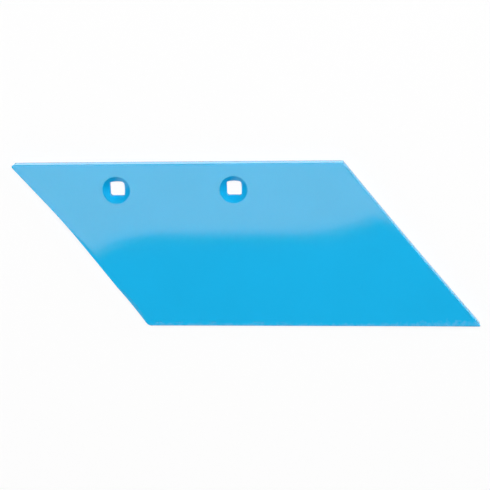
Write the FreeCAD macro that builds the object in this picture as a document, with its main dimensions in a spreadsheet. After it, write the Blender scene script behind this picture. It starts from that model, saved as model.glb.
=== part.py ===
"""Plough share: one steel plate with a ground back edge and two countersunk square bolt holes.

The share lies on its flat back. X runs along the cutting edge towards the point, Y from the
cutting edge towards the bolt edge, and Z up out of the soil face. The origin is in the middle
of the outline, on the back. Lengths are in millimetres and angles in degrees.
"""
import FreeCAD, Part
import math
import os

import Sketcher
from FreeCAD import Vector

NODE = "plough_share"

DIMENSIONS = {
    # the plate and its outline
    "plate_thickness": 10.0,
    "share_width": 146.0,           # cutting edge to bolt edge
    "cutting_length": 290.6,        # cutting edge, from the heel to the point
    "point_slant": 51.1,            # point end against the cutting edge
    "point_end_radius": 5600.0,     # the point end is sheared slightly hollow
    "heel_slant": 53.5,             # lower heel end against the cutting edge
    "wing_slant": 49.0,             # upper heel end against the cutting edge
    "knee_height": 93.5,            # where the heel end changes its slant
    "knee_radius": 600.0,
    "wing_corner": 2.0,             # heel end and bolt edge
    "shin_corner": 1.0,             # point end and bolt edge
    "heel_corner": 5.0,             # heel end and cutting edge
    "point_corner": 1.0,            # point end and cutting edge
    # the ground taper along the cutting edge, on the back
    "taper_length": 8.0,
    "edge_thickness": 8.0,
    "taper_blend": 15.0,
    # the two bolt holes
    "bolt_pitch": 101.6,
    "bolt_setback": 23.0,           # bolt centres below the bolt edge
    "bolt_from_wing": 92.5,         # first bolt centre from the wing corner
    "square_size": 12.7,
    "square_corner": 2.0,
    "sink_diameter": 22.8,
    "sink_angle": 80.0,             # included angle of the cone
    "sink_lip": 0.8,                # straight lip above the cone
    # the heel corner, dressed with a grinding wheel
    "wheel_radius": 160.0,
    "wheel_width": 30.0,
    "dressing_depth": 1.7,
    "dressing_lean": 30.0,          # between the dressed facet and the soil face
    "dressing_place": 24.0,         # its middle, along the heel end from the cutting edge
    # edge roundings
    "face_rounding": 0.8,
    "back_rounding": 0.5,
    "sink_rounding": 0.7,
}

# Lengths that follow from the sheet, as expressions on its cells.
HEEL_RUN = "(dims.knee_height / tan(dims.heel_slant))"
WING_RUN = "((dims.share_width - dims.knee_height) / tan(dims.wing_slant))"
POINT_RUN = "(dims.share_width / tan(dims.point_slant))"
HALF_WIDTH = "(dims.share_width / 2)"
POINT_X = f"((dims.cutting_length + {HEEL_RUN} + {WING_RUN}) / 2)"
HEEL_X = f"({POINT_X} - dims.cutting_length)"
BOLT_X = f"(dims.bolt_from_wing - {POINT_X})"
BOLT_Y = f"({HALF_WIDTH} - dims.bolt_setback)"
TAPER_SLOPE = "atan((dims.plate_thickness - dims.edge_thickness) / dims.taper_length)"

# How far a cut's sketch reaches past the plate, and how near counts as the same place.
CLEAR = 4.0
NEAR = 0.001

# A sketch's own names for its origin, its axes and the two ends of an edge.
ORIGIN = (-1, 1)
H_AXIS = -1
V_AXIS = -2
START = 1
END = 2

CUTTING_TYPES = ("PartDesign::Pocket", "PartDesign::Groove", "PartDesign::LinearPattern")


def make_sheet(document):
    """Write the driving dimensions to a spreadsheet, one named cell each."""
    sheet = document.addObject("Spreadsheet::Sheet", "dims")
    for row, (alias, value) in enumerate(DIMENSIONS.items(), start=1):
        sheet.set(f"A{row}", alias)
        sheet.set(f"B{row}", str(value))
        sheet.setAlias(f"B{row}", alias)
    document.recompute()
    return sheet


def value_of(sheet, expression):
    """The plain number that an expression on the sheet's cells gives now."""
    result = sheet.evalExpression(expression)
    return float(getattr(result, "Value", result))


def origin_feature(body, role):
    """One of the body's own origin planes or axes, by its role."""
    return next(item for item in body.Origin.OriginFeatures if item.Role == role)


def make_sketch(body, name, role, offset=None):
    """An empty sketch on one of the body's origin planes, shifted by an offset expression."""
    sketch = body.newObject("Sketcher::SketchObject", name)
    sketch.AttachmentSupport = [(origin_feature(body, role), "")]
    sketch.MapMode = "FlatFace"
    if offset:
        sketch.setExpression("AttachmentOffset", offset)
    body.Document.recompute()
    return sketch


def constrain(sketch, kind, *elements, size=None):
    """Add a geometric constraint, or with a size expression a driving dimension."""
    if size is None:
        sketch.addConstraint(Sketcher.Constraint(kind, *elements))
        return
    now = value_of(sketch.Document.dims, size)
    if kind == "Angle":
        now = math.radians(now)
        size = f"{size} * 1deg"
    index = sketch.addConstraint(Sketcher.Constraint(kind, *elements, now))
    sketch.setExpression(f"Constraints[{index}]", size)


def arc_between(start, end, radius):
    """The shallow arc that runs anticlockwise from start to end."""
    chord = end - start
    half = chord.Length / 2
    middle = (start + end) / 2
    inward = Vector(-chord.y, chord.x, 0).normalize()
    centre = middle + inward * math.sqrt(radius**2 - half**2)
    first = math.atan2(start.y - centre.y, start.x - centre.x)
    last = math.atan2(end.y - centre.y, end.x - centre.x)
    circle = Part.Circle(centre, Vector(0, 0, 1), radius)
    return Part.ArcOfCircle(circle, first, last)


def outline_corners(sheet):
    """Where the outline's corners lie now, so that the sketch starts close to its solution."""
    def at(x, y):
        return Vector(value_of(sheet, x), value_of(sheet, y), 0)

    return {
        "heel": at(HEEL_X, f"-{HALF_WIDTH}"),
        "point": at(POINT_X, f"-{HALF_WIDTH}"),
        "shin": at(f"{POINT_X} - {POINT_RUN}", HALF_WIDTH),
        "wing": at(f"-{POINT_X}", HALF_WIDTH),
        "knee": at(f"{HEEL_X} - {HEEL_RUN}", f"dims.knee_height - {HALF_WIDTH}"),
    }


def draw_outline(sketch):
    """The share's outline: two straight edges, a heel end with a knee, a hollow point end."""
    sheet = sketch.Document.dims
    corner = outline_corners(sheet)
    to_wing = (corner["wing"] - corner["knee"]).normalize()
    to_heel = (corner["heel"] - corner["knee"]).normalize()
    turn = math.radians(value_of(sheet, "dims.heel_slant - dims.wing_slant"))
    knee_radius = value_of(sheet, "dims.knee_radius")
    reach = knee_radius * math.tan(turn / 2)
    knee_high = corner["knee"] + to_wing * reach
    knee_low = corner["knee"] + to_heel * reach
    end_radius = value_of(sheet, "dims.point_end_radius")

    cutting = sketch.addGeometry(Part.LineSegment(corner["heel"], corner["point"]))
    point_end = sketch.addGeometry(arc_between(corner["shin"], corner["point"], end_radius))
    bolt = sketch.addGeometry(Part.LineSegment(corner["shin"], corner["wing"]))
    wing_end = sketch.addGeometry(Part.LineSegment(knee_high, corner["wing"]))
    knee = sketch.addGeometry(arc_between(knee_low, knee_high, knee_radius))
    heel_end = sketch.addGeometry(Part.LineSegment(corner["heel"], knee_low))

    constrain(sketch, "Horizontal", cutting)
    constrain(sketch, "Horizontal", bolt)
    constrain(sketch, "Coincident", cutting, END, point_end, END)
    constrain(sketch, "Coincident", point_end, START, bolt, START)
    constrain(sketch, "Coincident", bolt, END, wing_end, END)
    constrain(sketch, "Tangent", wing_end, START, knee, END)
    constrain(sketch, "Tangent", knee, START, heel_end, END)
    constrain(sketch, "Coincident", heel_end, START, cutting, START)
    constrain(sketch, "DistanceX", cutting, START, cutting, END, size="dims.cutting_length")
    constrain(sketch, "DistanceX", *ORIGIN, cutting, END, size=POINT_X)
    constrain(sketch, "DistanceY", cutting, END, *ORIGIN, size=HALF_WIDTH)
    constrain(sketch, "DistanceY", *ORIGIN, bolt, START, size=HALF_WIDTH)
    constrain(sketch, "DistanceX", bolt, START, cutting, END, size=POINT_RUN)
    constrain(sketch, "DistanceX", bolt, END, *ORIGIN, size=POINT_X)
    constrain(sketch, "Radius", point_end, size="dims.point_end_radius")
    constrain(sketch, "Radius", knee, size="dims.knee_radius")
    constrain(sketch, "Angle", heel_end, size="(180 - dims.heel_slant)")
    constrain(sketch, "Angle", wing_end, size="(180 - dims.wing_slant)")


def draw_polygon(sketch, points):
    """A closed chain of straight edges; returns the geometry numbers in order."""
    pairs = zip(points, points[1:] + points[:1])
    edges = [sketch.addGeometry(Part.LineSegment(start, end)) for start, end in pairs]
    for edge, following in zip(edges, edges[1:] + edges[:1]):
        constrain(sketch, "Coincident", edge, END, following, START)
    return edges


def draw_taper(sketch):
    """Section of what is ground off the back: a wedge that opens towards the cutting edge."""
    sheet = sketch.Document.dims
    slope = math.tan(math.radians(value_of(sheet, TAPER_SLOPE)))
    start = value_of(sheet, f"dims.taper_length - {HALF_WIDTH}")
    outer = value_of(sheet, f"-{HALF_WIDTH}") - CLEAR
    low, far, high = draw_polygon(sketch, [
        Vector(start + CLEAR / slope, -CLEAR, 0),
        Vector(outer, -CLEAR, 0),
        Vector(outer, (start - outer) * slope, 0),
    ])
    constrain(sketch, "Horizontal", low)
    constrain(sketch, "Vertical", far)
    constrain(sketch, "Angle", high, size=f"(-{TAPER_SLOPE})")
    constrain(sketch, "DistanceY", low, START, *ORIGIN, size=str(CLEAR))
    constrain(sketch, "DistanceX", far, START, *ORIGIN, size=f"({HALF_WIDTH} + {CLEAR})")
    constrain(
        sketch, "DistanceX", low, START, *ORIGIN,
        size=f"({HALF_WIDTH} - dims.taper_length - {CLEAR} / tan({TAPER_SLOPE}))",
    )


def draw_countersink(sketch):
    """Half section of the countersink, with its axis on the sketch's upright axis."""
    sheet = sketch.Document.dims
    rim = value_of(sheet, "dims.sink_diameter / 2")
    lip = value_of(sheet, "dims.plate_thickness - dims.sink_lip")
    top = value_of(sheet, "dims.plate_thickness") + CLEAR
    half_angle = math.radians(value_of(sheet, "dims.sink_angle / 2"))
    apex = lip - rim / math.tan(half_angle)
    cone, wall, lid, axis = draw_polygon(sketch, [
        Vector(0, apex, 0), Vector(rim, lip, 0), Vector(rim, top, 0), Vector(0, top, 0),
    ])
    constrain(sketch, "Vertical", wall)
    constrain(sketch, "Horizontal", lid)
    constrain(sketch, "Vertical", axis)
    constrain(sketch, "PointOnObject", axis, START, V_AXIS)
    constrain(sketch, "DistanceX", axis, START, wall, END, size="(dims.sink_diameter / 2)")
    constrain(sketch, "DistanceY", *ORIGIN, wall, START,
              size="(dims.plate_thickness - dims.sink_lip)")
    constrain(sketch, "DistanceY", *ORIGIN, wall, END, size=f"(dims.plate_thickness + {CLEAR})")
    constrain(sketch, "Angle", cone, size="(90 - dims.sink_angle / 2)")


def draw_square_neck(sketch):
    """The square that keeps the bolt from turning, with rounded corners."""
    sheet = sketch.Document.dims
    half = value_of(sheet, "dims.square_size / 2")
    corner = value_of(sheet, "dims.square_corner")
    flats = []
    arcs = []
    for quarter in range(4):
        turn = FreeCAD.Rotation(Vector(0, 0, 1), 90 * quarter)
        start = turn.multVec(Vector(corner - half, -half, 0))
        end = turn.multVec(Vector(half - corner, -half, 0))
        centre = turn.multVec(Vector(half - corner, corner - half, 0))
        circle = Part.Circle(centre, Vector(0, 0, 1), corner)
        first = math.radians(90 * (quarter - 1))
        flats.append(sketch.addGeometry(Part.LineSegment(start, end)))
        arcs.append(sketch.addGeometry(Part.ArcOfCircle(circle, first, first + math.pi / 2)))
    for quarter in range(4):
        constrain(sketch, "Tangent", flats[quarter], END, arcs[quarter], START)
        constrain(sketch, "Tangent", arcs[quarter], END, flats[(quarter + 1) % 4], START)
    for arc in arcs[1:]:
        constrain(sketch, "Equal", arcs[0], arc)
    front, right, back, left = flats
    constrain(sketch, "Horizontal", front)
    constrain(sketch, "Vertical", right)
    constrain(sketch, "Horizontal", back)
    constrain(sketch, "Vertical", left)
    constrain(sketch, "DistanceY", front, START, *ORIGIN, size="(dims.square_size / 2)")
    constrain(sketch, "DistanceX", *ORIGIN, right, START, size="(dims.square_size / 2)")
    constrain(sketch, "DistanceY", *ORIGIN, back, START, size="(dims.square_size / 2)")
    constrain(sketch, "DistanceX", left, START, *ORIGIN, size="(dims.square_size / 2)")
    constrain(sketch, "Radius", arcs[0], size="dims.square_corner")


def draw_wheel(sketch):
    """Half section of the grinding wheel, with its axle on the sketch's level axis."""
    sheet = sketch.Document.dims
    radius = value_of(sheet, "dims.wheel_radius")
    half = value_of(sheet, "dims.wheel_width / 2")
    rim, right, axle, left = draw_polygon(sketch, [
        Vector(-half, -radius, 0), Vector(half, -radius, 0), Vector(half, 0, 0), Vector(-half, 0, 0),
    ])
    constrain(sketch, "Horizontal", rim)
    constrain(sketch, "Vertical", right)
    constrain(sketch, "Vertical", left)
    constrain(sketch, "PointOnObject", axle, START, H_AXIS)
    constrain(sketch, "PointOnObject", axle, END, H_AXIS)
    constrain(sketch, "DistanceX", *ORIGIN, right, START, size="(dims.wheel_width / 2)")
    constrain(sketch, "DistanceX", left, START, *ORIGIN, size="(dims.wheel_width / 2)")
    constrain(sketch, "DistanceY", rim, START, *ORIGIN, size="dims.wheel_radius")


def add_fillet(body, name, edges, radius):
    """Round the named edges of the body's tip with a radius cell."""
    base = body.Tip
    fillet = body.newObject("PartDesign::Fillet", name)
    fillet.Base = (base, edges)
    fillet.setExpression("Radius", radius)
    body.Document.recompute()
    return fillet


def upright_edges(shape, corner):
    """Names of the upright edges that stand at a corner of the outline."""
    return [
        f"Edge{number}"
        for number, edge in enumerate(shape.Edges, start=1)
        if all(math.hypot(v.X - corner.x, v.Y - corner.y) < NEAR for v in edge.Vertexes)
    ]


def is_upright(face):
    """Whether a face stands square to the soil face."""
    low_u, high_u, low_v, high_v = face.ParameterRange
    normal = face.normalAt((low_u + high_u) / 2, (low_v + high_v) / 2)
    return abs(normal.z) < NEAR


def rim_edges(shape, face_height):
    """Names of the edges where the sides meet the soil face, and where they meet the back."""
    soil = []
    back = []
    for number, edge in enumerate(shape.Edges, start=1):
        sides = [face for face in shape.ancestorsOfType(edge, Part.Face) if is_upright(face)]
        if len(sides) != 1:
            continue
        at_face = all(abs(vertex.Z - face_height) < NEAR for vertex in edge.Vertexes)
        (soil if at_face else back).append(f"Edge{number}")
    return soil, back


def circle_edges(shape, radius, height):
    """Names of the edges on a circle of this radius at this height."""
    return [
        f"Edge{number}"
        for number, edge in enumerate(shape.Edges, start=1)
        if isinstance(edge.Curve, Part.Circle)
        and abs(edge.Curve.Radius - radius) < NEAR
        and abs(edge.Curve.Center.z - height) < NEAR
    ]


def crease_edges(shape, setback, height):
    """Names of the edges that run along X at this Y and this height."""
    return [
        f"Edge{number}"
        for number, edge in enumerate(shape.Edges, start=1)
        if all(abs(v.Y - setback) < NEAR and abs(v.Z - height) < NEAR for v in edge.Vertexes)
    ]


def add_plate(body):
    """The plate, cut to its outline, with its four corners rounded."""
    document = body.Document
    outline = make_sketch(body, "plate_outline", "XY_Plane")
    draw_outline(outline)
    plate = body.newObject("PartDesign::Pad", "plate")
    plate.Profile = outline
    plate.setExpression("Length", "dims.plate_thickness")
    document.recompute()
    corners = outline_corners(document.dims)
    for place in ("wing", "shin", "heel", "point"):
        edges = upright_edges(body.Tip.Shape, corners[place])
        add_fillet(body, f"{place}_corner", edges, f"dims.{place}_corner")


def add_taper(body):
    """Grind the back down towards the cutting edge, running out softly into the flat back."""
    document = body.Document
    section = make_sketch(body, "taper_section", "YZ_Plane")
    draw_taper(section)
    taper = body.newObject("PartDesign::Pocket", "ground_taper")
    taper.Profile = section
    taper.SideType = "Symmetric"
    taper.setExpression("Length", f"4 * {POINT_X}")
    document.recompute()
    start = value_of(document.dims, f"dims.taper_length - {HALF_WIDTH}")
    add_fillet(body, "taper_runout", crease_edges(taper.Shape, start, 0.0), "dims.taper_blend")


def add_rim_roundings(body):
    """Break the sheared edges all round, on the soil face and on the back."""
    face_height = value_of(body.Document.dims, "dims.plate_thickness")
    soil, _ = rim_edges(body.Tip.Shape, face_height)
    add_fillet(body, "face_rim", soil, "dims.face_rounding")
    _, back = rim_edges(body.Tip.Shape, face_height)
    add_fillet(body, "back_rim", back, "dims.back_rounding")


def add_heel_dressing(body):
    """Touch the soil face's edge near the heel corner with a leaning grinding wheel."""
    touch_x = f"{HEEL_X} - dims.dressing_place * cos(dims.heel_slant)"
    touch_y = f"dims.dressing_place * sin(dims.heel_slant) - {HALF_WIDTH}"
    heading = "rotationy(270 - dims.heel_slant) * rotationz(-dims.dressing_lean)"
    section = make_sketch(
        body, "wheel_section", "XZ_Plane",
        f"placement(vector({touch_x}; dims.plate_thickness; -({touch_y})); {heading})"
        " * placement(vector(0; dims.wheel_radius - dims.dressing_depth; 0); rotationz(0))",
    )
    draw_wheel(section)
    dressing = body.newObject("PartDesign::Groove", "heel_dressing")
    dressing.Profile = section
    dressing.ReferenceAxis = (section, ["H_Axis"])
    dressing.Angle = 360
    body.Document.recompute()


def add_bolt_holes(body):
    """Two square holes in a row along the bolt edge, countersunk on the soil face."""
    document = body.Document
    cone = make_sketch(body, "sink_section", "XZ_Plane",
                       f"placement(vector({BOLT_X}; 0; -{BOLT_Y}); rotationy(0))")
    draw_countersink(cone)
    sink = body.newObject("PartDesign::Groove", "countersink")
    sink.Profile = cone
    sink.ReferenceAxis = (cone, ["V_Axis"])
    sink.Angle = 360
    document.recompute()

    square = make_sketch(body, "neck_square", "XY_Plane",
                         f"placement(vector({BOLT_X}; {BOLT_Y}; 0); rotationz(0))")
    draw_square_neck(square)
    neck = body.newObject("PartDesign::Pocket", "square_neck")
    neck.Profile = square
    neck.SideType = "Symmetric"
    neck.setExpression("Length", "4 * dims.plate_thickness")
    document.recompute()

    row = body.newObject("PartDesign::LinearPattern", "bolt_row")
    row.Originals = [sink, neck]
    row.Direction = (square, ["H_Axis"])
    row.setExpression("Length", "dims.bolt_pitch")
    row.Occurrences = 2
    body.Tip = row
    document.recompute()

    rim = value_of(document.dims, "dims.sink_diameter / 2")
    height = value_of(document.dims, "dims.plate_thickness")
    add_fillet(body, "sink_rims", circle_edges(row.Shape, rim, height), "dims.sink_rounding")


def check(document, body):
    """Stop if anything failed to build, if a cut took nothing away or the part isn't one solid."""
    for item in document.Objects:
        if {"Invalid", "Error"} & set(item.State):
            raise RuntimeError(f"{item.Name} failed: {item.State}")
        if item.TypeId == "Sketcher::SketchObject" and not item.FullyConstrained:
            raise RuntimeError(f"{item.Name} is not fully constrained")
        if item.TypeId in CUTTING_TYPES:
            removed = item.BaseFeature.Shape.Volume - item.Shape.Volume
            print(f"{item.Name} removes {removed:.1f} mm3")
            if removed <= 0:
                raise RuntimeError(f"{item.Name} cuts nothing")
    shape = body.Shape
    if shape.isNull() or not shape.isValid() or len(shape.Solids) != 1:
        raise RuntimeError(f"{body.Label} is not one valid solid")


def main():
    """Build the share, check it and write its STEP file."""
    document = FreeCAD.newDocument("plough_share")
    make_sheet(document)
    body = document.addObject("PartDesign::Body", "share")
    body.Label = NODE
    body.Placement = FreeCAD.Placement()
    add_plate(body)
    add_taper(body)
    add_rim_roundings(body)
    add_heel_dressing(body)
    add_bolt_holes(body)
    document.recompute()
    check(document, body)
    os.makedirs("parts", exist_ok=True)
    body.Shape.exportStep(f"parts/{body.Label}.step")
    box = body.Shape.optimalBoundingBox()
    print(f"{body.Label}: {box.XLength:.2f} x {box.YLength:.2f} x {box.ZLength:.2f} mm,"
          f" {body.Shape.Volume / 1000:.1f} cm3")


main()
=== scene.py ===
"""Plough share lying on its back on a pale studio floor.

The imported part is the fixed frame. One finished steel plate stands for its single node: the
sheared outline with its rolled-up ends, the back with its bevel along the cutting edge, the
wheel-dressed heel corner, the two countersunk square bolt holes, and the bead that the paint
leaves along the cutting edge.
Lengths are in metres and angles in degrees. X runs along the cutting edge towards the point,
Y from the cutting edge towards the bolt edge, and Z up out of the soil face.
"""

from __future__ import annotations

import logging
import math
from collections.abc import Callable, Sequence
from dataclasses import dataclass, field
from enum import Enum

import bmesh
import bpy
from mathutils import Matrix, Vector, noise

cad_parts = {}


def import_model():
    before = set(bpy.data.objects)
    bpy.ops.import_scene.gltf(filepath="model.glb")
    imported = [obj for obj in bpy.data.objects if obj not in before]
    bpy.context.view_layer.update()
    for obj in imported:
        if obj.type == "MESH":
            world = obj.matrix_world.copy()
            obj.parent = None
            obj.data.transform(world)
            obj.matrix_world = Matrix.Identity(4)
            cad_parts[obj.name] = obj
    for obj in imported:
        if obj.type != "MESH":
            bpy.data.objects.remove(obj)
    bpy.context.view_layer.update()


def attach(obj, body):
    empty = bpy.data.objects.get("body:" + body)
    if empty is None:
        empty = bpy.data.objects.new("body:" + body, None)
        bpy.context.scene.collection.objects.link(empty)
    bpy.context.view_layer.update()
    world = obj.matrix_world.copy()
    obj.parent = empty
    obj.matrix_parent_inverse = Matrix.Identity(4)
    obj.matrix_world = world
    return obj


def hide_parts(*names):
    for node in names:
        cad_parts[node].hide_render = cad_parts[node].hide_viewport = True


LOG = logging.getLogger("plough_share")
MM = 0.001
NEAR = 0.01 * MM
UP = Vector((0.0, 0.0, 1.0))
ACROSS = Vector((0.0, 1.0, 0.0))
BROAD = 0.9     # a broad face's normal has more than this along Z
UPRIGHT = 0.5   # a wall's normal has less than this along Z


class Face(Enum):
    """The two broad faces of the plate, by the way each one looks."""

    SOIL = 1
    BACK = -1


class Lamp(Enum):
    """What a studio lamp is for: to light and be mirrored, or only one of the two."""

    LIGHT = "light"
    FILL = "fill"
    MIRRORED = "mirrored"


def nothing_selected() -> None:
    """Leave edit mode and deselect every object."""
    if bpy.context.object and bpy.context.object.mode == "EDIT":
        bpy.ops.object.mode_set(mode="OBJECT")
    bpy.ops.object.select_all(action="DESELECT")


def lerp(low: float, high: float, share: float) -> float:
    """The value that lies a share of the way from low to high."""
    return low + (high - low) * share


def bend(start: tuple[float, float], turn: tuple[float, float], end: tuple[float, float],
         share: float) -> tuple[float, float]:
    """A place on the soft bend that leaves start towards turn and comes to end from it.

    Args:
        start: where the bend starts.
        turn: the corner that the bend stands for.
        end: where the bend ends.
        share: how far along the bend the place is, from 0 to 1.

    Returns:
        The place.
    """
    a, b, c = (1 - share) ** 2, 2 * share * (1 - share), share**2
    return (a * start[0] + b * turn[0] + c * end[0], a * start[1] + b * turn[1] + c * end[1])


@dataclass
class Workbench:
    """One mesh object in edit mode, with selections made by place or by normal."""

    piece: bpy.types.Object

    def open(self) -> None:
        """Go into edit mode."""
        nothing_selected()
        self.piece.select_set(True)
        bpy.context.view_layer.objects.active = self.piece
        bpy.ops.object.mode_set(mode="EDIT")

    def mesh(self) -> bmesh.types.BMesh:
        """The edit mesh as it is after the last operator."""
        return bmesh.from_edit_mesh(self.piece.data)

    def close(self) -> None:
        """Go back to object mode with nothing selected."""
        nothing_selected()

    def select(self, mode: str, wanted: Callable[..., bool]) -> None:
        """Select what passes a test, and nothing else.

        Args:
            mode: FACE or EDGE.
            wanted: the test, given each face or each edge.
        """
        bpy.ops.mesh.select_mode(type=mode)
        bpy.ops.mesh.select_all(action="DESELECT")
        mesh = self.mesh()
        chosen = [part for part in (mesh.faces if mode == "FACE" else mesh.edges) if wanted(part)]
        for part in chosen:
            part.select_set(True)
        bmesh.update_edit_mesh(self.piece.data)

    def cut(self, point: Vector, normal: Vector, drop: bool = False) -> None:
        """Cut through the whole mesh with a plane.

        Args:
            point: a point of the plane.
            normal: the plane's normal.
            drop: whether to remove what lies on the normal's side and close the cut.
        """
        bpy.ops.mesh.select_all(action="SELECT")
        bpy.ops.mesh.bisect(plane_co=point, plane_no=normal, use_fill=drop,
                            clear_outer=drop, threshold=0.1 * NEAR)

    def place(self, move: Callable[[Vector], Vector]) -> None:
        """Give every vertex a new place.

        Args:
            move: what turns a vertex's place into its new one.
        """
        mesh = self.mesh()
        for vertex in mesh.verts:
            vertex.co = move(vertex.co)
        bmesh.update_edit_mesh(self.piece.data)


@dataclass
class Outline:
    """The share's outline, as straight chords with the hollow of each end."""

    half_width: float = 73.0 * MM
    heel_x: float = -87.888 * MM
    knee: tuple[float, float] = (-157.074 * MM, 20.5 * MM)
    wing_x: float = -202.712 * MM
    shin_x: float = 84.905 * MM
    point_x: float = 202.712 * MM
    knee_radius: float = 600.0 * MM
    point_hollow: float = 0.78 * MM

    def share(self, y: float) -> float:
        """How far y lies from the cutting edge to the bolt edge, from 0 to 1."""
        return (y + self.half_width) / (2 * self.half_width)

    def heel_chord(self, y: float) -> float:
        """X of the straight line from the heel corner to the wing corner."""
        return lerp(self.heel_x, self.wing_x, self.share(y))

    def point_chord(self, y: float) -> float:
        """X of the straight line from the point to the shin corner."""
        return lerp(self.point_x, self.shin_x, self.share(y))

    def heel_end(self, y: float) -> float:
        """X of the heel end, which changes its slant at the knee."""
        knee_x, knee_y = self.knee
        below = (knee_x - self.heel_x) / (knee_y + self.half_width)
        above = (self.wing_x - knee_x) / (self.half_width - knee_y)
        turn = math.atan(above) - math.atan(below)
        reach = abs(self.knee_radius * math.tan(turn / 2)) * math.cos(math.atan(below))
        off = y - knee_y
        straight = knee_x + (below if off < 0 else above) * off
        if abs(off) >= reach:
            return straight
        return straight + (above - below) * (reach - abs(off)) ** 2 / (4 * reach)

    def point_end(self, y: float) -> float:
        """X of the point end, which is sheared slightly hollow."""
        share = self.share(y)
        slant = math.atan2(2 * self.half_width, self.point_x - self.shin_x)
        sink = 4 * self.point_hollow * share * (1 - share)
        return self.point_chord(y) - sink / math.sin(slant)

    def inside(self, x: float, y: float) -> tuple[float, float]:
        """How far a place lies in from the heel end and from the point end.

        Args:
            x: the place along the cutting edge.
            y: the place across the share.

        Returns:
            The distance square to the heel end and the distance square to the point end.
        """
        heel_slant = math.atan2(2 * self.half_width, self.heel_x - self.wing_x)
        point_slant = math.atan2(2 * self.half_width, self.point_x - self.shin_x)
        return ((x - self.heel_end(y)) * math.sin(heel_slant),
                (self.point_end(y) - x) * math.sin(point_slant))


@dataclass
class BoltHole:
    """A countersunk square bolt hole, built as rings from the soil face to the back."""

    x: float
    y: float
    sink_radius: float = 11.4 * MM
    sink_lip: float = 0.8 * MM
    sink_half_angle: float = 40.0
    rim_rounding: float = 1.0 * MM
    pool_radius: float = 1.2 * MM
    square_half: float = 6.35 * MM
    square_corner: float = 2.0 * MM
    neck_rounding: float = 0.35 * MM
    back_rounding: float = 0.4 * MM
    collar: tuple[float, float] = (20.32 * MM, 15.0 * MM)
    side_cuts: int = 3
    rim_steps: int = 4
    back_steps: int = 3
    pool_start: float = 0.35
    pool_shares: tuple[float, ...] = (0.25, 0.5, 0.75, 1.0)
    cone_shares: tuple[float, ...] = (0.25, 0.5, 0.75)
    neck_shares: tuple[float, ...] = (0.0, 0.35, 0.65, 1.0)

    def around(self, place: Vector, column: Callable[[float], float]) -> bool:
        """Whether a place is in the patch of faces that the hole takes up.

        Args:
            place: the place.
            column: X, at a given Y, of the grid line through the hole's middle.

        Returns:
            True if it is.
        """
        across, along = self.collar
        return abs(place.y - self.y) < along and abs(place.x - column(place.y)) < across

    def square_reach(self, angle: float) -> float:
        """Distance from the middle to the rounded square, in a direction in radians."""
        cos, sin = abs(math.cos(angle)), abs(math.sin(angle))
        middle = self.square_half - self.square_corner
        flat = self.square_half / max(cos, sin)
        if min(cos, sin) * flat <= middle:
            return flat
        along = middle * (cos + sin)
        return along + math.sqrt(along**2 - 2 * middle**2 + self.square_corner**2)

    def wall(self, angle: float, thickness: float) -> list[tuple[float, float]]:
        """The hole's wall in one direction, from the soil face down to the back.

        Args:
            angle: the direction from the hole's middle, in radians.
            thickness: the plate's thickness.

        Returns:
            Radius and height of each ring.
        """
        neck = self.square_reach(angle)
        lean = math.radians(self.sink_half_angle)
        rings = []
        for step in range(self.rim_steps + 1):
            turn = math.radians(90 * step / self.rim_steps)
            rings.append((self.sink_radius + self.rim_rounding * (1 - math.sin(turn)),
                          thickness - self.rim_rounding * (1 - math.cos(turn))))
        foot = (self.sink_radius, thickness - self.sink_lip)
        pool = self.pool_radius * math.tan(lean / 2)
        start = (foot[0], foot[1] + self.pool_start * pool)
        end = (foot[0] - pool * math.sin(lean), foot[1] - pool * math.cos(lean))
        rings += [bend(start, foot, end, share) for share in self.pool_shares]
        edge = (neck, foot[1] - (self.sink_radius - neck) / math.tan(lean))
        soft = self.neck_rounding
        top = (edge[0] + soft * math.sin(lean), edge[1] + soft * math.cos(lean))
        rings += [(lerp(end[0], top[0], share), lerp(end[1], top[1], share))
                  for share in self.cone_shares]
        rings += [bend(top, edge, (neck, edge[1] - soft), share) for share in self.neck_shares]
        rings.append((neck, lerp(edge[1] - soft, self.back_rounding, 0.5)))
        for step in range(self.back_steps + 1):
            turn = math.radians(90 * step / self.back_steps)
            rings.append((neck + self.back_rounding * (1 - math.cos(turn)),
                          self.back_rounding * (1 - math.sin(turn))))
        return rings

    def open_faces(self, bench: Workbench, column: Callable[[float], float]) -> None:
        """Take the hole's patch out of both faces and divide the two openings' edges."""
        bench.select("FACE", lambda face: abs(face.normal.z) > BROAD
                           and self.around(face.calc_center_median(), column))
        bpy.ops.mesh.delete(type="FACE")
        bench.select("EDGE", self.on_opening)
        bpy.ops.mesh.subdivide(number_cuts=self.side_cuts)

    def on_opening(self, edge: bmesh.types.BMEdge) -> bool:
        """Whether an edge is on an opening that this hole has made."""
        middle = (edge.verts[0].co + edge.verts[1].co) / 2
        reach = 2 * max(self.collar)
        return (edge.is_boundary and abs(middle.x - self.x) < reach
                and abs(middle.y - self.y) < reach)

    def build(self, bench: Workbench, thickness: float, column: Callable[[float], float]) -> None:
        """Open the patch, draw the wall down ring by ring, and join it to the back.

        Args:
            bench: the plate, in edit mode.
            thickness: the plate's thickness.
            column: X, at a given Y, of the grid line through the hole's middle.
        """
        self.open_faces(bench, column)
        bench.select("EDGE", lambda edge: self.on_opening(edge)
                           and edge.verts[0].co.z > thickness / 2)
        count = len(self.wall(0.0, thickness))
        for ring in range(count):
            bpy.ops.mesh.extrude_edges_move()
            mesh = bench.mesh()
            for vertex in (v for v in mesh.verts if v.select):
                angle = math.atan2(vertex.co.y - self.y, vertex.co.x - self.x)
                radius, height = self.wall(angle, thickness)[ring]
                vertex.co = (self.x + radius * math.cos(angle),
                             self.y + radius * math.sin(angle), height)
            bmesh.update_edit_mesh(bench.piece.data)
        bench.select("EDGE", self.on_opening)
        bpy.ops.mesh.bridge_edge_loops()


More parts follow.
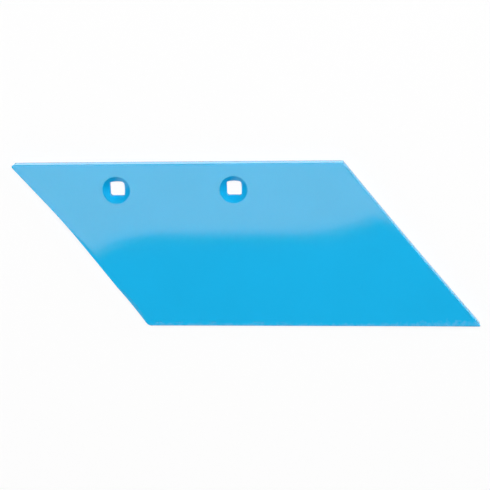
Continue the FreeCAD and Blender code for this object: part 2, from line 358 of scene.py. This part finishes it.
@dataclass
class Wheel:
    """The grinding wheel that touched the heel corner, leaning outwards on its axle."""

    radius: float = 160.0 * MM
    width: float = 30.0 * MM
    depth: float = 1.7 * MM
    lean: float = 30.0
    slant: float = 53.5
    place: float = 24.0 * MM
    flats: int = 360

    def build(self, outline: Outline, thickness: float) -> bpy.types.Object:
        """The wheel as a solid, set against the heel end.

        Args:
            outline: the share's outline.
            thickness: the plate's thickness.

        Returns:
            The wheel.
        """
        slant, lean = math.radians(self.slant), math.radians(self.lean)
        along = Vector((-math.cos(slant), math.sin(slant), 0.0))
        outward = Vector((-math.sin(slant), -math.cos(slant), 0.0))
        square = UP * math.cos(lean) + outward * math.sin(lean)
        axle = along.cross(square)
        heel = Vector((outline.heel_x, -outline.half_width, thickness))
        middle = heel + along * self.place + square * (self.radius - self.depth)
        nothing_selected()
        turn = Matrix((along, square, axle)).transposed().to_euler()
        bpy.ops.mesh.primitive_cylinder_add(vertices=self.flats, radius=self.radius,
                                            depth=self.width, location=middle, rotation=turn)
        return bpy.context.object


@dataclass
class Plate:
    """The rolled steel plate, cut to outline, bevelled, dressed and punched."""

    thickness: float = 10.0 * MM
    edge_thickness: float = 8.0 * MM
    taper_length: float = 8.0 * MM
    taper_run: float = 3.7 * MM
    row_step: float = 5.0 * MM
    corner_room: float = 8.0 * MM
    column_step: float = 5.08 * MM
    columns: tuple[int, int] = (-13, 41)
    face_rounding: float = 0.8 * MM
    back_rounding: float = 0.5 * MM
    wing_corner: float = 2.0 * MM
    shin_corner: float = 1.0 * MM
    heel_corner: float = 5.0 * MM
    point_corner: float = 1.0 * MM
    heel_curl: tuple[float, float] = (0.40 * MM, 60.0 * MM)
    point_curl: tuple[float, float] = (0.45 * MM, 75.0 * MM)
    swell: float = 0.012 * MM
    swell_length: float = 90.0 * MM
    bead_height: float = 0.10 * MM
    bead_place: float = 2.3 * MM
    bead_width: float = 1.1 * MM
    bead_runs: tuple[float, float] = (7.0 * MM, 5.0 * MM)
    bead_share: tuple[float, float] = (0.5, 0.9)
    bead_layer: float = 2.0
    fine_rows: tuple[float, ...] = (1.2, 1.7, 2.2, 2.7, 3.2, 3.7, 4.3)
    fine_reach: float = 4.5 * MM
    fine_chord: float = 2.0 * MM
    fine_lean: float = 0.2
    fine_cuts: int = 4
    run_shares: tuple[float, ...] = (0.25, 0.5, 0.75)
    smooth_angle: float = 26.0
    outline: Outline = field(default_factory=Outline)
    wheel: Wheel = field(default_factory=Wheel)
    bolts: tuple[BoltHole, ...] = (BoltHole(-110.212 * MM, 50.0 * MM),
                                   BoltHole(-8.612 * MM, 50.0 * MM))

    def build(self) -> bpy.types.Object:
        """Make the plate.

        Returns:
            The finished mesh, with its place in its vertices.
        """
        bench = Workbench(self.blank())
        bench.open()
        self.cut_ends(bench)
        self.round_corners(bench)
        self.grind_back(bench)
        self.round_rims(bench)
        bench.close()
        self.dress_heel(bench.piece)
        bench.open()
        self.lay_grid(bench)
        for bolt in self.bolts:
            bolt.build(bench, self.thickness, self.column_through(bolt.x, bolt.y))
        bench.place(self.settle)
        bpy.ops.mesh.select_all(action="SELECT")
        bpy.ops.mesh.normals_make_consistent(inside=False)
        bench.close()
        self.smooth(bench.piece)
        return bench.piece

    def blank(self) -> bpy.types.Object:
        """A rectangular piece of plate that the outline fits in."""
        nothing_selected()
        length = self.outline.point_x - self.outline.wing_x
        bpy.ops.mesh.primitive_cube_add(
            size=1.0, location=(0.0, 0.0, self.thickness / 2),
            scale=(length, 2 * self.outline.half_width, self.thickness))
        bpy.ops.object.transform_apply(location=True, rotation=True, scale=True)
        piece = bpy.context.object
        piece.name = piece.data.name = "share_plate"
        return piece

    def cut_ends(self, bench: Workbench) -> None:
        """Shear both ends along their chords, then draw the rows in to the hollow outline."""
        line = self.outline
        run = Vector((line.wing_x - line.heel_x, 2 * line.half_width, 0.0))
        bench.cut(Vector((line.heel_x, -line.half_width, 0.0)), UP.cross(run), drop=True)
        run = Vector((line.shin_x - line.point_x, 2 * line.half_width, 0.0))
        bench.cut(Vector((line.point_x, -line.half_width, 0.0)), run.cross(UP), drop=True)
        rows = round((line.half_width - self.corner_room) / self.row_step)
        for row in range(-rows, rows + 1):
            bench.cut(ACROSS * (row * self.row_step), ACROSS)

        def draw_in(place: Vector) -> Vector:
            if abs(place.x - line.heel_chord(place.y)) < NEAR:
                return Vector((line.heel_end(place.y), place.y, place.z))
            if abs(place.x - line.point_chord(place.y)) < NEAR:
                return Vector((line.point_end(place.y), place.y, place.z))
            return place

        bench.place(draw_in)

    def round_corners(self, bench: Workbench) -> None:
        """Round the four upright corners of the outline."""
        line = self.outline
        slant = math.degrees(math.atan2(line.half_width + line.knee[1],
                                        line.heel_x - line.knee[0]))
        wing = math.degrees(math.atan2(line.half_width - line.knee[1],
                                       line.knee[0] - line.wing_x))
        tip = math.degrees(math.atan2(2 * line.half_width, line.point_x - line.shin_x))
        upright = (
            (line.heel_x, -line.half_width, self.heel_corner, slant, 8),
            (line.wing_x, line.half_width, self.wing_corner, 180 - wing, 8),
            (line.shin_x, line.half_width, self.shin_corner, tip, 4),
            (line.point_x, -line.half_width, self.point_corner, 180 - tip, 6),
        )
        for x, y, radius, turn, segments in upright:
            corner = Vector((x, y))
            bench.select("EDGE", lambda edge: all(
                (vertex.co.xy - corner).length < 10 * NEAR for vertex in edge.verts))
            bpy.ops.mesh.bevel(offset=radius * math.tan(math.radians(turn / 2)),
                               segments=segments, affect="EDGES", clamp_overlap=False)

    def back_height(self, y: float) -> float:
        """Height of the back at a place across the plate: zero, then the bevel."""
        slope = (self.thickness - self.edge_thickness) / self.taper_length
        from_end = self.taper_length - (y + self.outline.half_width)
        if from_end <= -self.taper_run / 2:
            return 0.0
        if from_end >= self.taper_run / 2:
            return slope * from_end
        return slope * (from_end + self.taper_run / 2) ** 2 / (2 * self.taper_run)

    def grind_back(self, bench: Workbench) -> None:
        """Bevel the back along the cutting edge."""
        for share in self.run_shares:
            y = self.taper_length - self.outline.half_width + self.taper_run * (share - 0.5)
            bench.cut(ACROSS * y, ACROSS)
        bench.place(lambda place: Vector((place.x, place.y, self.back_height(place.y)))
                    if place.z < NEAR else place)

    def round_rims(self, bench: Workbench) -> None:
        """Round the rim of the soil face and the rim of the back."""
        for side, radius, segments in ((Face.SOIL, self.face_rounding, 4),
                                       (Face.BACK, self.back_rounding, 3)):
            bench.select("EDGE", lambda edge: len(edge.link_faces) == 2
                               and self.is_rim(edge, side))
            bpy.ops.mesh.bevel(offset=radius, segments=segments, affect="EDGES",
                               clamp_overlap=False)

    def is_rim(self, edge: bmesh.types.BMEdge, side: Face) -> bool:
        """Whether an edge joins the given broad face to the plate's upright wall."""
        heights = sorted(face.normal.z * side.value for face in edge.link_faces)
        return abs(heights[0]) < UPRIGHT and heights[1] > BROAD

    def dress_heel(self, piece: bpy.types.Object) -> None:
        """Take the facet off the heel corner with the wheel."""
        wheel = self.wheel.build(self.outline, self.thickness)
        nothing_selected()
        piece.select_set(True)
        bpy.context.view_layer.objects.active = piece
        dressing = piece.modifiers.new("heel_dressing", "BOOLEAN")
        dressing.object = wheel
        dressing.operation = "DIFFERENCE"
        dressing.solver = "EXACT"
        bpy.ops.object.modifier_apply(modifier=dressing.name)
        bpy.data.objects.remove(wheel)

    def column_through(self, x: float, y: float) -> Callable[[float], float]:
        """The grid line through a place, which leans as the two ends do.

        Args:
            x: the place along the cutting edge.
            y: the place across the plate.

        Returns:
            What gives the line's X at any Y.
        """
        line = self.outline
        share = (x - line.heel_chord(y)) / (line.point_chord(y) - line.heel_chord(y))
        return lambda at: lerp(line.heel_chord(at), line.point_chord(at), share)

    def lay_grid(self, bench: Workbench) -> None:
        """Divide the plate into leaning columns, and finely along the cutting edge."""
        first = self.bolts[0]
        for number in range(*self.columns):
            line = self.column_through(first.x + number * self.column_step, first.y)
            low, high = -self.outline.half_width, self.outline.half_width
            run = Vector((line(high) - line(low), high - low, 0.0))
            bench.cut(Vector((line(low), low, 0.0)), UP.cross(run))
        for row in self.fine_rows:
            bench.cut(ACROSS * (row * MM - self.outline.half_width), ACROSS)
        fine = self.fine_reach - self.outline.half_width
        bench.select("FACE", lambda face: face.normal.z > BROAD
                           and all(vertex.co.y < fine for vertex in face.verts))
        bpy.ops.mesh.select_mode(type="EDGE")
        mesh = bench.mesh()
        for edge in mesh.edges:
            run = edge.verts[1].co - edge.verts[0].co
            edge.select_set(edge.select and abs(run.y) < abs(run.x) * self.fine_lean
                            and run.length > self.fine_chord)
        bmesh.update_edit_mesh(bench.piece.data)
        bpy.ops.mesh.subdivide(number_cuts=self.fine_cuts, quadcorner="INNERVERT")

    def settle(self, place: Vector) -> Vector:
        """Where a place of the flat plate lies once its ends curl and its paint has run.

        Args:
            place: the place on the flat plate.

        Returns:
            The place on the finished one.
        """
        from_heel, from_point = self.outline.inside(place.x, place.y)
        lift = 0.0
        for inside, (rise, reach) in ((from_heel, self.heel_curl), (from_point, self.point_curl)):
            lift += rise * max(0.0, 1 - max(0.0, inside) / reach) ** 3
        lift += self.swell * noise.noise(place / self.swell_length)
        from_edge = place.y + self.outline.half_width
        if place.z > self.thickness - NEAR:
            lift += self.bead_height * self.bead(place.x, from_edge)
        return Vector((place.x, place.y, place.z + lift))

    def bead(self, x: float, from_edge: float) -> float:
        """Share of its full height that the paint's bead has along the cutting edge."""
        spread = math.exp(-((from_edge - self.bead_place) / self.bead_width) ** 2)
        along, across = self.bead_runs
        middle, swing = self.bead_share
        place = Vector((x / along, from_edge / across, self.bead_layer))
        return spread * max(0.0, middle + swing * noise.noise(place))

    def smooth(self, piece: bpy.types.Object) -> None:
        """Shade the roundings smooth and keep the broad faces even."""
        nothing_selected()
        piece.select_set(True)
        bpy.context.view_layer.objects.active = piece
        bpy.ops.object.shade_smooth_by_angle(angle=math.radians(self.smooth_angle))
        even = piece.modifiers.new("even_faces", "WEIGHTED_NORMAL")
        even.keep_sharp = True
        bpy.ops.object.modifier_apply(modifier=even.name)


def reckon(tree: bpy.types.NodeTree, operation: str, *terms: bpy.types.NodeSocket | float,
           clamp: bool = False) -> bpy.types.NodeSocket:
    """Work something out in a Math node.

    Args:
        tree: the tree that the node is added to.
        operation: the node's operation.
        terms: its inputs in order, each a socket or a number.
        clamp: whether the result is kept from 0 to 1.

    Returns:
        The result.
    """
    node = tree.nodes.new("ShaderNodeMath")
    node.operation = operation
    node.use_clamp = clamp
    for slot, term in zip(node.inputs, terms):
        if isinstance(term, bpy.types.NodeSocket):
            tree.links.new(term, slot)
        else:
            slot.default_value = term
    return node.outputs["Value"]


def remap(tree: bpy.types.NodeTree, value: bpy.types.NodeSocket, source: tuple[float, float],
          target: tuple[float, float], interpolation: str = "LINEAR") -> bpy.types.NodeSocket:
    """Carry a value over from one range to another.

    Args:
        tree: the tree that the node is added to.
        value: the value.
        source: the range that it comes from.
        target: the range that it goes to.
        interpolation: how it runs between the two ends.

    Returns:
        The value in the new range.
    """
    node = tree.nodes.new("ShaderNodeMapRange")
    node.interpolation_type = interpolation
    for name, bound in zip(("From Min", "From Max", "To Min", "To Max"), (*source, *target)):
        node.inputs[name].default_value = bound
    tree.links.new(value, node.inputs["Value"])
    return node.outputs["Result"]


def grain(tree: bpy.types.NodeTree, place: bpy.types.NodeSocket, size: float,
          detail: float) -> bpy.types.NodeSocket:
    """Noise at a place.

    Args:
        tree: the tree that the node is added to.
        place: the place.
        size: how large the noise's forms are.
        detail: how many finer layers it has.

    Returns:
        The noise, about 0.5 at the middle of its range.
    """
    node = tree.nodes.new("ShaderNodeTexNoise")
    node.inputs["Scale"].default_value = 1 / size
    node.inputs["Detail"].default_value = detail
    tree.links.new(place, node.inputs["Vector"])
    return node.outputs["Fac"]


@dataclass(frozen=True)
class GlossPaint:
    """A thick coat of blue gloss paint, sprayed over steel.

    Only its clear coat mirrors, and little, since floor and room are white to mirrors.
    """

    colour: tuple[float, float, float] = (0.005, 0.428, 0.785)
    roughness: float = 0.08
    coat_roughness: float = 0.05
    coat_ior: float = 1.2
    sheen_spread: float = 0.15
    cloud_size: float = 45.0 * MM
    cloud_detail: float = 3.0
    cloud_depth: float = 0.035
    peel_size: float = 2.2 * MM
    peel_detail: float = 1.0
    peel_depth: float = 0.0015 * MM
    # The edge tone and the edge and speckle fields below paint a reflection: a lighter, paler
    # tone in speckles along the cutting edge, wider towards the point, stands for light mirrored
    # by a ground strip there.
    edge_reflection_tone: tuple[float, float, float] = (0.085, 0.46, 0.80)
    edge_place: float = -73.0 * MM
    edge_width: tuple[float, float] = (2.6 * MM, 6.0 * MM)
    edge_grows: tuple[float, float] = (110.0 * MM, 185.0 * MM)
    speckle_size: float = 3.5 * MM
    speckle_detail: float = 2.0
    speckle_gain: float = 2.4
    speckle_offset: float = -0.2

    def material(self) -> bpy.types.Material:
        """Build the paint's nodes.

        Returns:
            The material.
        """
        made = bpy.data.materials.new("blue_gloss_paint")
        made.use_nodes = True
        tree = made.node_tree
        nodes, links = tree.nodes, tree.links
        nodes.clear()
        output = nodes.new("ShaderNodeOutputMaterial")
        paint = nodes.new("ShaderNodeBsdfPrincipled")
        links.new(paint.outputs["BSDF"], output.inputs["Surface"])
        paint.inputs["Coat Weight"].default_value = 1.0
        paint.inputs["Coat IOR"].default_value = self.coat_ior
        paint.inputs["Coat Roughness"].default_value = self.coat_roughness
        paint.inputs["Specular IOR Level"].default_value = 0.0
        where = nodes.new("ShaderNodeTexCoord").outputs["Object"]

        clouds = grain(tree, where, self.cloud_size, self.cloud_detail)
        tone = nodes.new("ShaderNodeMix")
        tone.data_type = "RGBA"
        low, high = 1 - self.cloud_depth, 1 + self.cloud_depth
        tone.inputs["A"].default_value = (*(c * low for c in self.colour), 1.0)
        tone.inputs["B"].default_value = (*(c * high for c in self.colour), 1.0)
        links.new(clouds, tone.inputs["Factor"])
        # Painted reflection: the lighter edge tone is mixed into the base colour in speckles
        # along the cutting edge.
        edge = nodes.new("ShaderNodeMix")
        edge.data_type = "RGBA"
        edge.inputs["B"].default_value = (*self.edge_reflection_tone, 1.0)
        links.new(self.edge_reflection_share(tree, where), edge.inputs["Factor"])
        links.new(tone.outputs["Result"], edge.inputs["A"])
        links.new(edge.outputs["Result"], paint.inputs["Base Color"])

        low, high = 1 - self.sheen_spread, 1 + self.sheen_spread
        sheen = remap(tree, clouds, (0.0, 1.0), (self.roughness * low, self.roughness * high))
        links.new(sheen, paint.inputs["Roughness"])

        relief = nodes.new("ShaderNodeBump")
        relief.inputs["Strength"].default_value = 1.0
        relief.inputs["Distance"].default_value = self.peel_depth
        links.new(grain(tree, where, self.peel_size, self.peel_detail), relief.inputs["Height"])
        links.new(relief.outputs["Normal"], paint.inputs["Normal"])
        links.new(relief.outputs["Normal"], paint.inputs["Coat Normal"])
        return made

    def edge_reflection_share(self, tree: bpy.types.NodeTree,
                   place: bpy.types.NodeSocket) -> bpy.types.NodeSocket:
        """How far the painted reflection lightens the paint to the edge tone, in speckles along
        the cutting edge.

        Args:
            tree: the material's nodes.
            place: the place on the plate.

        Returns:
            The share, from 0 on the open face up to 1 at the edge.
        """
        split = tree.nodes.new("ShaderNodeSeparateXYZ")
        tree.links.new(place, split.inputs["Vector"])
        width = remap(tree, split.outputs["X"], self.edge_grows, self.edge_width)
        away = reckon(tree, "SUBTRACT", split.outputs["Y"], self.edge_place)
        near = reckon(tree, "DIVIDE", away, width)
        speckles = grain(tree, place, self.speckle_size, self.speckle_detail)
        room = reckon(tree, "MULTIPLY_ADD", speckles, self.speckle_gain, self.speckle_offset)
        return reckon(tree, "SUBTRACT", room, near, clamp=True)


def seen_or_mirrored(tree: bpy.types.NodeTree) -> bpy.types.NodeSocket:
    """Tell what the camera sees, straight, in a mirror or through glass, from all else.

    Args:
        tree: the tree that the nodes are added to.

    Returns:
        1 for what is seen, and 0 for what only lights.
    """
    path = tree.nodes.new("ShaderNodeLightPath")
    seen = path.outputs["Is Camera Ray"]
    for ray in ("Is Glossy Ray", "Is Transmission Ray"):
        seen = reckon(tree, "MAXIMUM", seen, path.outputs[ray])
    return seen


def mix_out(tree: bpy.types.NodeTree, output: str, share: bpy.types.NodeSocket,
            shaders: Sequence[bpy.types.NodeSocket]) -> None:
    """Give a tree the mix of two shaders as its output.

    Args:
        tree: the tree.
        output: the kind of output node that it needs.
        share: the second shader's share of the mix.
        shaders: the two shaders.
    """
    mix = tree.nodes.new("ShaderNodeMixShader")
    for slot, part in zip(mix.inputs, (share, *shaders)):
        tree.links.new(part, slot)
    surface = tree.nodes.new(output).inputs["Surface"]
    tree.links.new(mix.outputs["Shader"], surface)


@dataclass(frozen=True)
class PaleFloor:
    """A white studio floor that stays white to the eye and keeps a faint shadow."""

    colour: float = 0.9
    kept_shadow: float = 0.12
    side: float = 14.0

    def build(self) -> bpy.types.Object:
        """Lay the floor.

        Returns:
            The floor.
        """
        nothing_selected()
        bpy.ops.mesh.primitive_plane_add(size=self.side, location=(0.0, 0.0, 0.0))
        floor = bpy.context.object
        floor.name = floor.data.name = "floor"
        floor.data.materials.append(self.material())
        return floor

    def material(self) -> bpy.types.Material:
        """White for the eye and for mirrors, and plain matt for the light."""
        made = bpy.data.materials.new("studio_floor")
        made.use_nodes = True
        tree = made.node_tree
        tree.nodes.clear()
        matt = tree.nodes.new("ShaderNodeBsdfDiffuse")
        matt.inputs["Color"].default_value = (self.colour,) * 3 + (1.0,)
        white = tree.nodes.new("ShaderNodeEmission")
        share = reckon(tree, "MULTIPLY", seen_or_mirrored(tree), 1 - self.kept_shadow)
        mix_out(tree, "ShaderNodeOutputMaterial", share,
                (matt.outputs["BSDF"], white.outputs["Emission"]))
        return made


@dataclass(frozen=True)
class StudioRoom:
    """The room: white where it is seen, and as a light brighter low down than overhead."""

    overhead: float = 0.10
    horizon: float = 0.35
    fade: tuple[float, float] = (0.05, 0.45)

    def build(self) -> None:
        """Set the world's light."""
        world = bpy.data.worlds.new("studio_room")
        bpy.context.scene.world = world
        world.use_nodes = True
        tree = world.node_tree
        tree.nodes.clear()
        where = tree.nodes.new("ShaderNodeTexCoord")
        split = tree.nodes.new("ShaderNodeSeparateXYZ")
        tree.links.new(where.outputs["Generated"], split.inputs["Vector"])
        strength = remap(tree, split.outputs["Z"], self.fade, (self.horizon, self.overhead),
                         "SMOOTHSTEP")
        room = tree.nodes.new("ShaderNodeBackground")
        tree.links.new(strength, room.inputs["Strength"])
        white = tree.nodes.new("ShaderNodeBackground")
        mix_out(tree, "ShaderNodeOutputWorld", seen_or_mirrored(tree),
                (room.outputs["Background"], white.outputs["Background"]))


@dataclass(frozen=True)
class SoftBox:
    """A rectangular studio lamp, as bright all over as a strength of 1 is white."""

    name: str
    place: tuple[float, float, float]
    size: tuple[float, float]
    strength: float
    aim: tuple[float, float, float] = (0.0, 0.0, 0.0)
    colour: tuple[float, float, float] = (1.0, 1.0, 1.0)
    use: Lamp = Lamp.LIGHT

    def build(self) -> bpy.types.Object:
        """Hang the lamp.

        Returns:
            The lamp.
        """
        data = bpy.data.lights.new(self.name, "AREA")
        data.shape = "RECTANGLE"
        data.size, data.size_y = self.size
        data.energy = self.strength * math.pi * data.size * data.size_y
        data.color = self.colour
        lamp = bpy.data.objects.new(self.name, data)
        bpy.context.scene.collection.objects.link(lamp)
        lamp.location = self.place
        run = Vector(self.aim) - Vector(self.place)
        lamp.rotation_euler = run.to_track_quat("-Z", "Y").to_euler()
        lamp.visible_camera = False
        lamp.visible_diffuse = self.use is not Lamp.MIRRORED
        lamp.visible_glossy = self.use is not Lamp.FILL
        return lamp


@dataclass(frozen=True)
class StudioCamera:
    """A long lens above the share, leaning towards the bolt edge."""

    target: tuple[float, float, float] = (-0.15 * MM, 0.9 * MM, 10.0 * MM)
    distance: float = 1.3
    tilt: float = 16.0
    swing: float = 5.996
    roll: float = -1.78
    lens: float = 110.67
    sensor: float = 36.0

    def build(self) -> bpy.types.Object:
        """Set the camera up.

        Returns:
            The camera.
        """
        tilt, swing = math.radians(self.tilt), math.radians(self.swing)
        back = Vector((math.sin(swing) * math.cos(tilt), math.sin(tilt),
                       math.cos(tilt) * math.cos(swing))).normalized()
        right = Vector((0.0, 1.0, 0.0)).cross(back).normalized()
        above = back.cross(right)
        level = Matrix((right, above, back)).transposed()
        turn = Matrix.Rotation(math.radians(self.roll), 3, "Z")
        data = bpy.data.cameras.new("camera")
        data.lens, data.sensor_width = self.lens, self.sensor
        camera = bpy.data.objects.new("camera", data)
        bpy.context.scene.collection.objects.link(camera)
        camera.location = Vector(self.target) + back * self.distance
        camera.rotation_euler = (level @ turn).to_euler()
        bpy.context.scene.camera = camera
        return camera


@dataclass
class Studio:
    """Floor, room, lamps and camera."""

    floor: PaleFloor = PaleFloor()
    room: StudioRoom = StudioRoom()
    camera: StudioCamera = StudioCamera()
    lamps: Sequence[SoftBox] = (
        SoftBox("overhead_card", (-0.2, 0.65, 2.0), (2.8, 2.392), 14.0, aim=(-0.2, 0.65, 0.0),
                colour=(1.0, 0.6, 0.3), use=Lamp.MIRRORED),
        SoftBox("overhead_fill", (0.1, 0.85, 2.2), (1.5, 1.0), 10.3, use=Lamp.FILL),
        SoftBox("rear_right_lamp", (1.15, 1.0, 1.3), (0.8, 0.8), 60.0, use=Lamp.MIRRORED),
        SoftBox("rear_left_lamp", (-1.1, 1.0, 1.2), (0.5, 0.5), 3.0),
        SoftBox("point_end_fill", (1.7, 0.6, 0.5), (0.8, 0.8), 5.0, use=Lamp.FILL),
        SoftBox("bolt_edge_card", (-0.06, 0.0785, 0.0004), (0.34, 0.010), 1.2,
                aim=(-0.06, 0.0785, 1.0), use=Lamp.MIRRORED),
        SoftBox("front_left_lamp", (-1.0, -1.1, 0.45), (1.2, 0.7), 1.7),
    )

    def build(self) -> None:
        """Set everything up round the object."""
        self.floor.build()
        self.room.build()
        for lamp in self.lamps:
            lamp.build()
        self.camera.build()
        bpy.context.scene.view_settings.view_transform = "Standard"


@dataclass
class PloughShare:
    """The finished share: its plate and its paint."""

    plate: Plate = field(default_factory=Plate)
    paint: GlossPaint = GlossPaint()

    def build(self) -> bpy.types.Object:
        """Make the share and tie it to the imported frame.

        Returns:
            The share's one piece.
        """
        piece = self.plate.build()
        piece.data.materials.clear()
        piece.data.materials.append(self.paint.material())
        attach(piece, "root")
        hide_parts("plough_share")
        LOG.info("%s: %d faces", piece.name, len(piece.data.polygons))
        return piece


def main() -> None:
    """Build the share, then the studio round it."""
    logging.basicConfig(level=logging.INFO, format="%(name)s: %(message)s")
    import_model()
    PloughShare().build()
    Studio().build()


if __name__ == "__main__":
    main()
